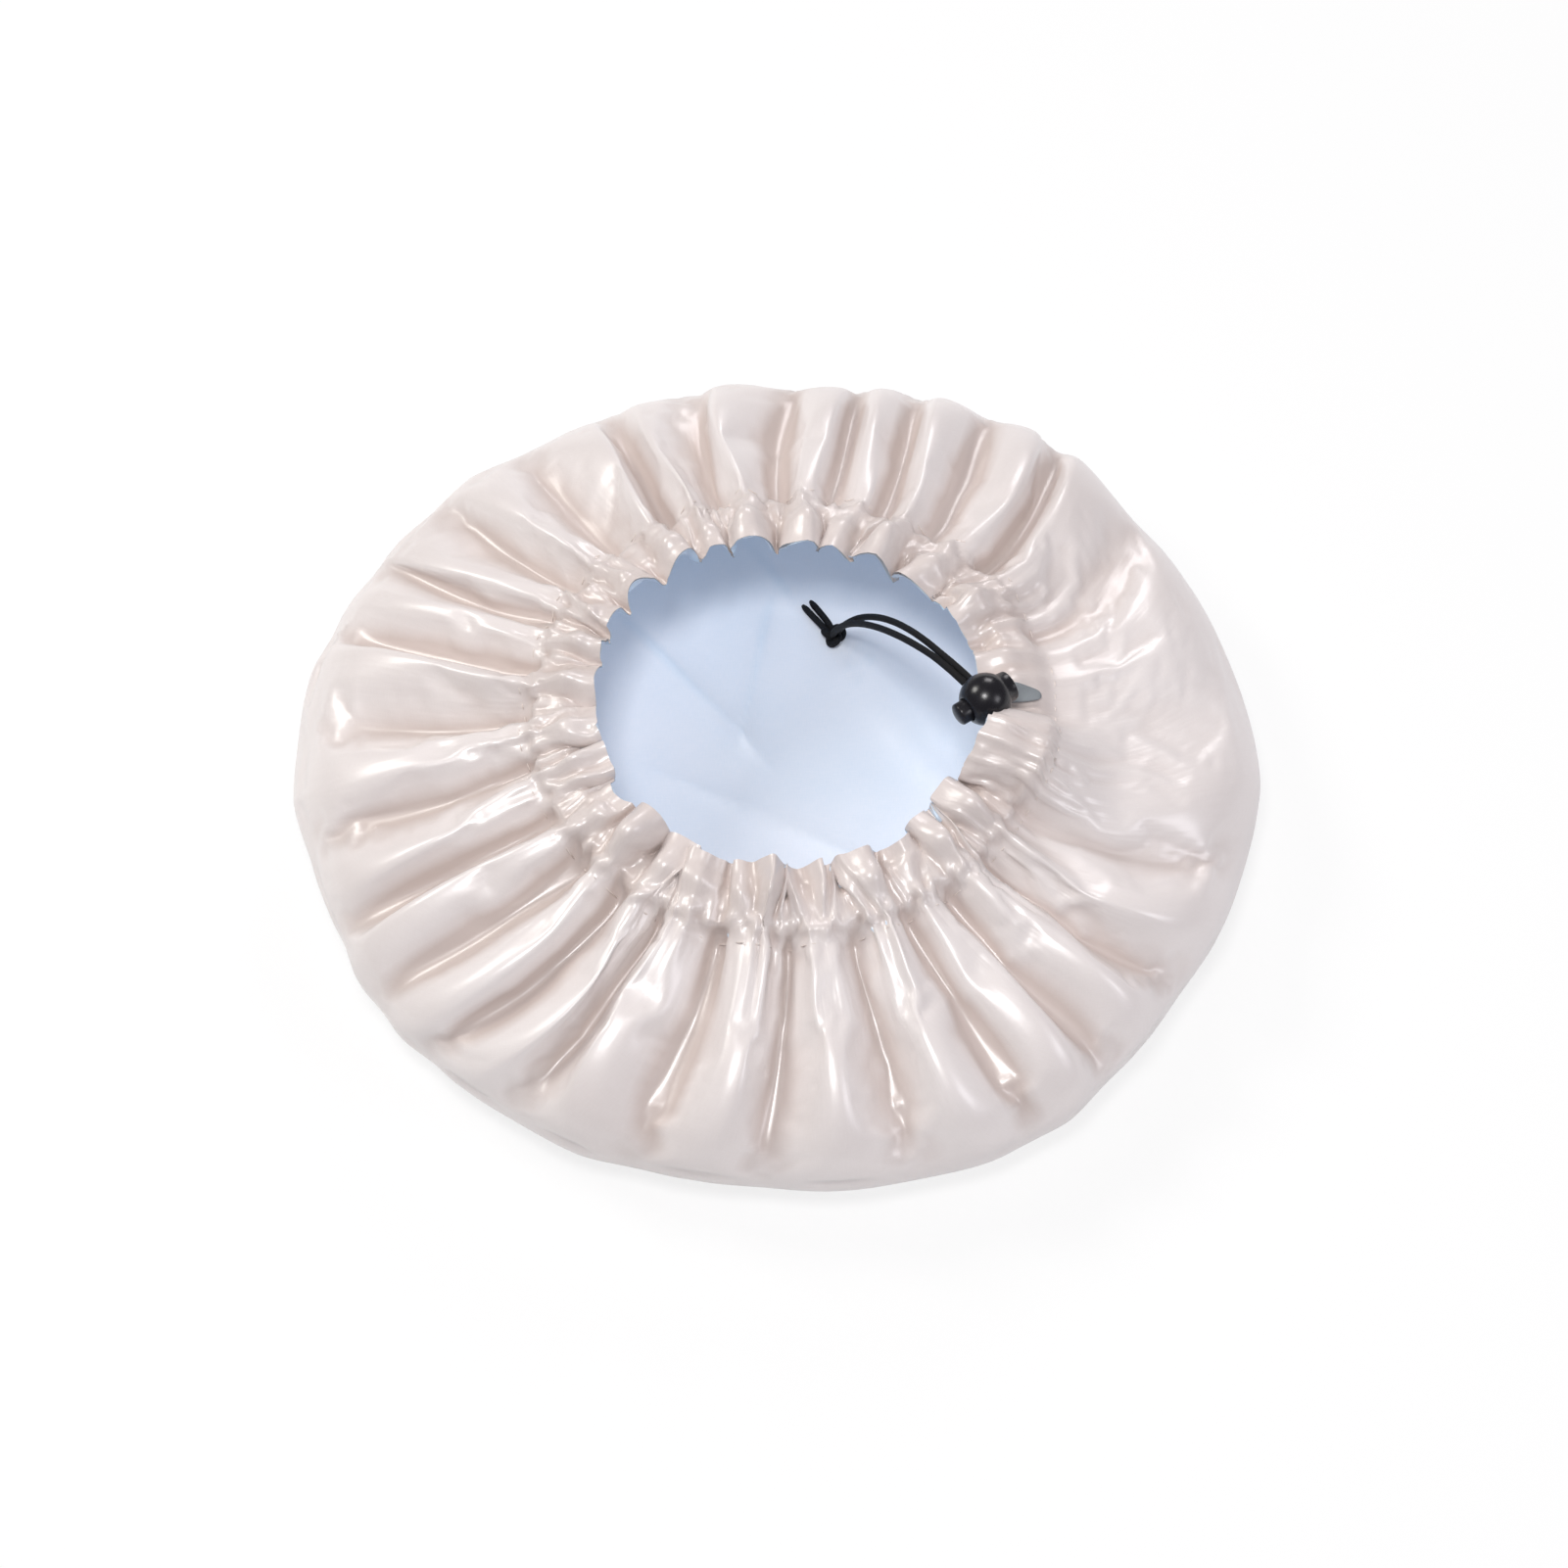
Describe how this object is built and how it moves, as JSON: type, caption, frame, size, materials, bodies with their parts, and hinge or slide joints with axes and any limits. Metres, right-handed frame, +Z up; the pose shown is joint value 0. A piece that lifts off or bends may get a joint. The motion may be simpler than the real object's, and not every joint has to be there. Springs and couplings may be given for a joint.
{
  "type": "hair bonnet",
  "caption": "Double-layer satin hair bonnet gathered on an elastic drawcord, lying crown down, with a ball cord lock on its knotted tail.",
  "frame": {"origin": "centre of the bonnet's box in X and Y, on the surface that its crown lies on", "axes": "+Z up out of the opening, front at -Y, the cord lock at +X"},
  "size_m": [0.349, 0.3232, 0.0917],
  "materials": {
    "outer_satin": "pearl champagne satin",
    "lining_satin": "light blue satin",
    "thread": "matt champagne thread",
    "facing": "grey tape in shade",
    "elastic": "black braided elastic, matt",
    "lock_plastic": "black, faint sheen",
    "spring_steel": "bare spring wire"
  },
  "bodies": {
    "bonnet": {"outer_satin": "outer_satin", "lining_satin": "lining_satin", "casing_outer": "outer_satin", "casing_lining": "lining_satin", "casing_stitching": "thread", "exit_facing": "facing", "drawcord": "elastic", "tail_strand_front": "elastic", "tail_strand_back": "elastic", "tail_end_front": "elastic", "tail_end_back": "elastic", "tail_knot": "elastic"},
    "cord_lock": {"lock_body": "lock_plastic", "lock_spring": "spring_steel"},
    "lock_plunger": {"lock_button": "lock_plastic"}
  },
  "joints": [
    {"name": "lock_slide", "type": "hinge", "parent": "bonnet", "child": "cord_lock", "pos_m": [0.08269, -0.02287, -0.03371], "axis": [-0.829, -0.5592, 0], "range_deg": [0, 50], "deforming": ["tail_strand_front", "tail_strand_back"]},
    {"name": "button_press", "type": "slide", "parent": "cord_lock", "child": "lock_plunger", "axis": [0.829, 0.5592, 0], "range_m": [0, 0.0025], "stiffness_N_per_m": 700, "springref_m": -0.002, "deforming": ["lock_spring"]}
  ]
}
